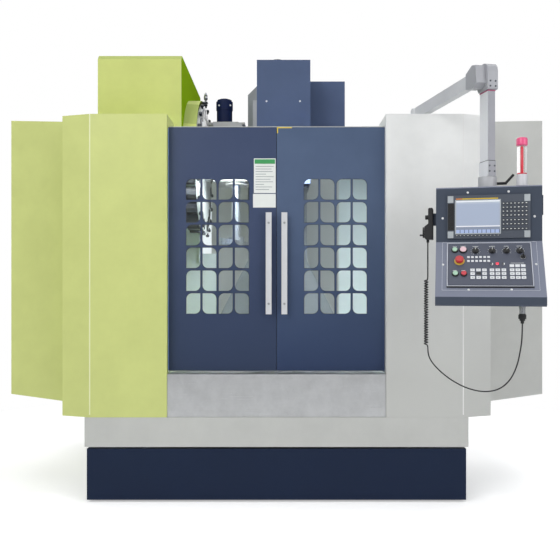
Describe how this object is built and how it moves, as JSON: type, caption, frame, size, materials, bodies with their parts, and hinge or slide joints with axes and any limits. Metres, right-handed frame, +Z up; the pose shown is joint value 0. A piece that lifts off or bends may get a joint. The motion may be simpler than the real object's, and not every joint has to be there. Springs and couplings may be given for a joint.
{
  "type": "cnc machining center",
  "caption": "Vertical machining center in a sheet-metal enclosure with sliding windowed doors, tool changer, swing-arm control panel and a hand pendant on a curly cord.",
  "frame": {"origin": "floor under the centre of the machine's bounding box, levelling pads on Z=0", "axes": "+X to the right seen from the front, +Y from the front to the back, +Z up"},
  "size_m": [3.29, 3.0728, 2.943],
  "materials": {
    "navy_paint": "smooth satin powder coat, navy",
    "dark_navy_paint": "textured satin paint, very dark navy",
    "lime_paint": "fine textured satin powder coat, lime green",
    "grey_paint": "fine textured satin powder coat, light warm grey",
    "pale_paint": "smooth enamel, pale grey-green inside",
    "slate_paint": "fine textured satin powder coat, dark slate",
    "stainless": "brushed stainless sheet, mottled",
    "casting_paint": "grey enamel over cast iron, ground ways bare",
    "ground_steel": "ground and turned steel",
    "aluminium": "anodised satin extrusion",
    "window": "clear polycarbonate safety window",
    "black_plastic": "fine spark-eroded texture, black",
    "grey_plastic": "satin moulded plastic, light grey with dark screen",
    "plate_paint": "satin overlay with pale keys",
    "green_plastic": "clear gloss cap, green",
    "white_plastic": "gloss cap, milky white",
    "red_plastic": "gloss cap, red",
    "lamp_plastic": "clear and red lens over a pale base",
    "cord_rubber": "satin extruded cord sheath, black",
    "chrome": "bright plated brass"
  },
  "bodies": {
    "machine": {"machine_bed": "dark_navy_paint", "lower_skirt": "grey_paint", "front_apron": "stainless", "front_cover_left": "lime_paint", "front_cover_right": "grey_paint", "side_cover_left": "lime_paint", "side_cover_right": "grey_paint", "door_header": "grey_paint", "inner_panels": "pale_paint", "column": "casting_paint", "yz_drives": "ground_steel", "magazine_hood": "lime_paint", "changer_case": "casting_paint", "changer_motor": "navy_paint", "electrical_cabinet": "grey_paint", "coolant_tank": "stainless", "arm_pivot": "aluminium"},
    "left_door": {"door_left": "navy_paint", "window_pane_left": "window", "door_handle_left": "aluminium"},
    "right_door": {"door_right": "navy_paint", "window_pane_right": "window", "door_handle_right": "aluminium"},
    "saddle": {"saddle": "casting_paint", "x_drive": "ground_steel"},
    "table": {"table": "casting_paint"},
    "head": {"head_casting": "casting_paint", "head_cover": "navy_paint"},
    "spindle": {"spindle": "ground_steel"},
    "magazine": {"magazine_disc": "grey_paint"},
    "pot": {"change_pot": "black_plastic"},
    "arm_changer": {"changer_arm": "ground_steel"},
    "rear_door": {"cabinet_door": "grey_paint"},
    "switch": {"main_switch": "red_plastic"},
    "swing_arm": {"arm_tube": "aluminium", "arm_elbow": "aluminium", "arm_post": "aluminium"},
    "panel": {"control_box": "slate_paint", "screen_unit": "grey_plastic", "operator_plate": "plate_paint", "signal_lamp": "lamp_plastic", "pendant": "black_plastic", "cord_lead": "cord_rubber", "curly_cord": "cord_rubber", "cord_loop": "cord_rubber", "cord_plug": "black_plastic", "cord_gland": "chrome"},
    "lever": {"clamp_lever": "black_plastic"},
    "push_button_1_body": {"push_button_1": "green_plastic"},
    "push_button_2_body": {"push_button_2": "white_plastic"},
    "push_button_3_body": {"push_button_3": "green_plastic"},
    "push_button_4_body": {"push_button_4": "red_plastic"},
    "emergency_stop_body": {"emergency_stop": "red_plastic"},
    "rotary_switch_1_body": {"rotary_switch_1": "black_plastic"},
    "rotary_switch_2_body": {"rotary_switch_2": "black_plastic"},
    "rotary_switch_3_body": {"rotary_switch_3": "black_plastic"},
    "rotary_switch_4_body": {"rotary_switch_4": "black_plastic"},
    "key_switch_body": {"key_switch": "chrome"},
    "pendant_wheel_body": {"pendant_wheel": "black_plastic"},
    "pendant_knob_body": {"pendant_knob": "black_plastic"}
  },
  "joints": [
    {"name": "door_left_slide", "type": "slide", "parent": "machine", "child": "left_door", "axis": [-1, 0, 0], "range_m": [0, 0.56]},
    {"name": "door_right_slide", "type": "slide", "parent": "machine", "child": "right_door", "axis": [1, 0, 0], "range_m": [0, 0.56]},
    {"name": "saddle_slide", "type": "slide", "parent": "machine", "child": "saddle", "axis": [0, 1, 0], "range_m": [-0.28, 0.28]},
    {"name": "table_slide", "type": "slide", "parent": "saddle", "child": "table", "axis": [1, 0, 0], "range_m": [-0.6, 0.6]},
    {"name": "head_slide", "type": "slide", "parent": "machine", "child": "head", "axis": [0, 0, 1], "range_m": [-0.6, 0]},
    {"name": "spindle_spin", "type": "hinge", "parent": "head", "child": "spindle", "pos_m": [0, 0.05, 1.56], "axis": [0, 0, 1], "continuous": true},
    {"name": "magazine_spin", "type": "hinge", "parent": "machine", "child": "magazine", "pos_m": [-0.497, 0.15, 2.02], "axis": [1, 0, 0], "continuous": true},
    {"name": "pot_tilt", "type": "hinge", "parent": "magazine", "child": "pot", "pos_m": [-0.55, 0.15, 1.612], "axis": [0, 1, 0], "range_deg": [-90, 0]},
    {"name": "changer_arm_turn", "type": "hinge", "parent": "machine", "child": "arm_changer", "pos_m": [-0.28, 0.1, 1.5], "axis": [0, 0, 1], "range_deg": [0, 90]},
    {"name": "cabinet_door_hinge", "type": "hinge", "parent": "machine", "child": "rear_door", "pos_m": [-0.5666, 1.5304, 1.34], "axis": [0, 0, 1], "range_deg": [0, 110]},
    {"name": "main_switch_turn", "type": "hinge", "parent": "machine", "child": "switch", "pos_m": [0.56, 1.36, 1.56], "axis": [1, 0, 0], "range_deg": [0, 90]},
    {"name": "swing_arm_turn", "type": "hinge", "parent": "machine", "child": "swing_arm", "pos_m": [0.8426, -0.4666, 2.23], "axis": [0, 0, 1], "range_deg": [-30, 30]},
    {"name": "panel_swivel", "type": "hinge", "parent": "swing_arm", "child": "panel", "pos_m": [1.051, -1.21, 1.739], "axis": [0, 0, 1], "range_deg": [-60, 60]},
    {"name": "clamp_lever_turn", "type": "hinge", "parent": "panel", "child": "lever", "pos_m": [1.051, -1.21, 1.746], "axis": [0.9705, -0.2411, 0], "range_deg": [-90, 90]},
    {"name": "push_button_1_press", "type": "slide", "parent": "panel", "child": "push_button_1_body", "axis": [0.1981, 0.7976, -0.5697], "range_m": [0, 0.003], "stiffness_N_per_m": 400},
    {"name": "push_button_2_press", "type": "slide", "parent": "panel", "child": "push_button_2_body", "axis": [0.1981, 0.7976, -0.5697], "range_m": [0, 0.003], "stiffness_N_per_m": 400},
    {"name": "push_button_3_press", "type": "slide", "parent": "panel", "child": "push_button_3_body", "axis": [0.1981, 0.7976, -0.5697], "range_m": [0, 0.003], "stiffness_N_per_m": 400},
    {"name": "push_button_4_press", "type": "slide", "parent": "panel", "child": "push_button_4_body", "axis": [0.1981, 0.7976, -0.5697], "range_m": [0, 0.003], "stiffness_N_per_m": 400},
    {"name": "emergency_stop_press", "type": "slide", "parent": "panel", "child": "emergency_stop_body", "axis": [0.1981, 0.7976, -0.5697], "range_m": [0, 0.004]},
    {"name": "rotary_switch_1_turn", "type": "hinge", "parent": "panel", "child": "rotary_switch_1_body", "pos_m": [0.96097, -1.31941, 1.40222], "axis": [-0.1981, -0.7976, 0.5697], "range_deg": [-60, 60]},
    {"name": "rotary_switch_2_turn", "type": "hinge", "parent": "panel", "child": "rotary_switch_2_body", "pos_m": [1.03556, -1.33853, 1.4014], "axis": [-0.1981, -0.7976, 0.5697], "range_deg": [-120, 120]},
    {"name": "rotary_switch_3_turn", "type": "hinge", "parent": "panel", "child": "rotary_switch_3_body", "pos_m": [1.0985, -1.35475, 1.40058], "axis": [-0.1981, -0.7976, 0.5697], "range_deg": [-120, 120]},
    {"name": "rotary_switch_4_turn", "type": "hinge", "parent": "panel", "child": "rotary_switch_4_body", "pos_m": [1.15674, -1.36922, 1.40058], "axis": [-0.1981, -0.7976, 0.5697], "range_deg": [-120, 120]},
    {"name": "key_switch_turn", "type": "hinge", "parent": "panel", "child": "key_switch_body", "pos_m": [1.16455, -1.3917, 1.37181], "axis": [-0.1981, -0.7976, 0.5697], "range_deg": [-45, 45]},
    {"name": "pendant_wheel_turn", "type": "hinge", "parent": "panel", "child": "pendant_wheel_body", "pos_m": [0.74681, -1.17359, 1.506], "axis": [-0.9705, 0.2411, 0], "continuous": true},
    {"name": "pendant_knob_turn", "type": "hinge", "parent": "panel", "child": "pendant_knob_body", "pos_m": [0.76427, -1.17793, 1.582], "axis": [-0.9705, 0.2411, 0], "range_deg": [-60, 60]}
  ]
}
